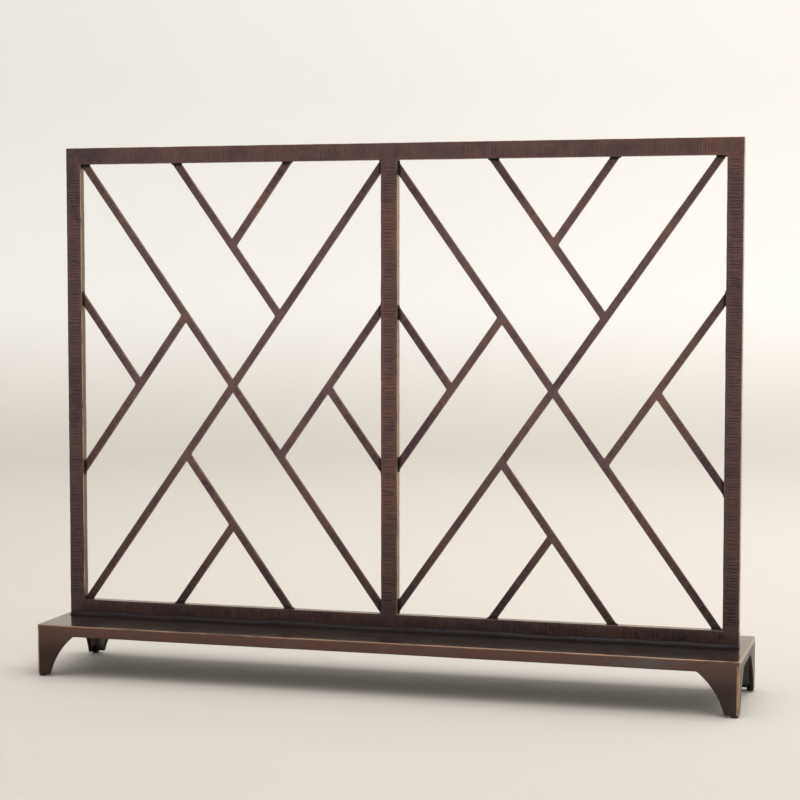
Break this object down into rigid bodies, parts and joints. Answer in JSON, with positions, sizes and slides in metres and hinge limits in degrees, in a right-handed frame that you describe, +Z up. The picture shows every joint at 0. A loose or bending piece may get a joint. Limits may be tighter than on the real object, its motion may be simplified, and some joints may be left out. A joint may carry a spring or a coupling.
{
  "type": "fireplace screen",
  "caption": "Free-standing metal fireplace screen: hammered flat-bar frame holding two diagonal lattice frets, welded to a low base with bracket feet.",
  "frame": {"origin": "on the floor, under the middle of the base's outline", "axes": "+X along the width of the screen, -Y towards the side shown as its front, +Z up"},
  "size_m": [0.992, 0.19, 0.7515],
  "materials": {
    "frame_bronze": "hammered flat bar, antique bronze patina, satin, burnished on its edges",
    "fret_bronze": "finely hammered bar, antique bronze patina with coppery patches, satin",
    "base_bronze": "smooth dark bronze patina, semi-gloss, worn to brass on its upper edges",
    "weld_bronze": "hand-laid weld bead, dark bronze patina, satin",
    "pad_rubber": "matt black"
  },
  "bodies": {
    "root": {"top_rail": "frame_bronze", "bottom_rail": "frame_bronze", "left_stile": "frame_bronze", "centre_stile": "frame_bronze", "right_stile": "frame_bronze", "left_fret_long_diagonal": "fret_bronze", "left_fret_upper_half_diagonal": "fret_bronze", "left_fret_lower_half_diagonal": "fret_bronze", "left_fret_top_bar": "fret_bronze", "left_fret_top_branch": "fret_bronze", "left_fret_left_bar": "fret_bronze", "left_fret_left_branch": "fret_bronze", "left_fret_right_bar": "fret_bronze", "left_fret_right_branch": "fret_bronze", "left_fret_bottom_bar": "fret_bronze", "left_fret_bottom_branch": "fret_bronze", "right_fret_long_diagonal": "fret_bronze", "right_fret_upper_half_diagonal": "fret_bronze", "right_fret_lower_half_diagonal": "fret_bronze", "right_fret_top_bar": "fret_bronze", "right_fret_top_branch": "fret_bronze", "right_fret_left_bar": "fret_bronze", "right_fret_left_branch": "fret_bronze", "right_fret_right_bar": "fret_bronze", "right_fret_right_branch": "fret_bronze", "right_fret_bottom_bar": "fret_bronze", "right_fret_bottom_branch": "fret_bronze", "base_top_plate": "base_bronze", "base_front_apron": "base_bronze", "base_rear_apron": "base_bronze", "base_left_end_apron": "base_bronze", "base_right_end_apron": "base_bronze", "foot_pad_front_left": "pad_rubber", "foot_pad_front_right": "pad_rubber", "foot_pad_rear_left": "pad_rubber", "foot_pad_rear_right": "pad_rubber", "front_weld_bead": "weld_bronze", "rear_weld_bead": "weld_bronze"}
  },
  "joints": []
}
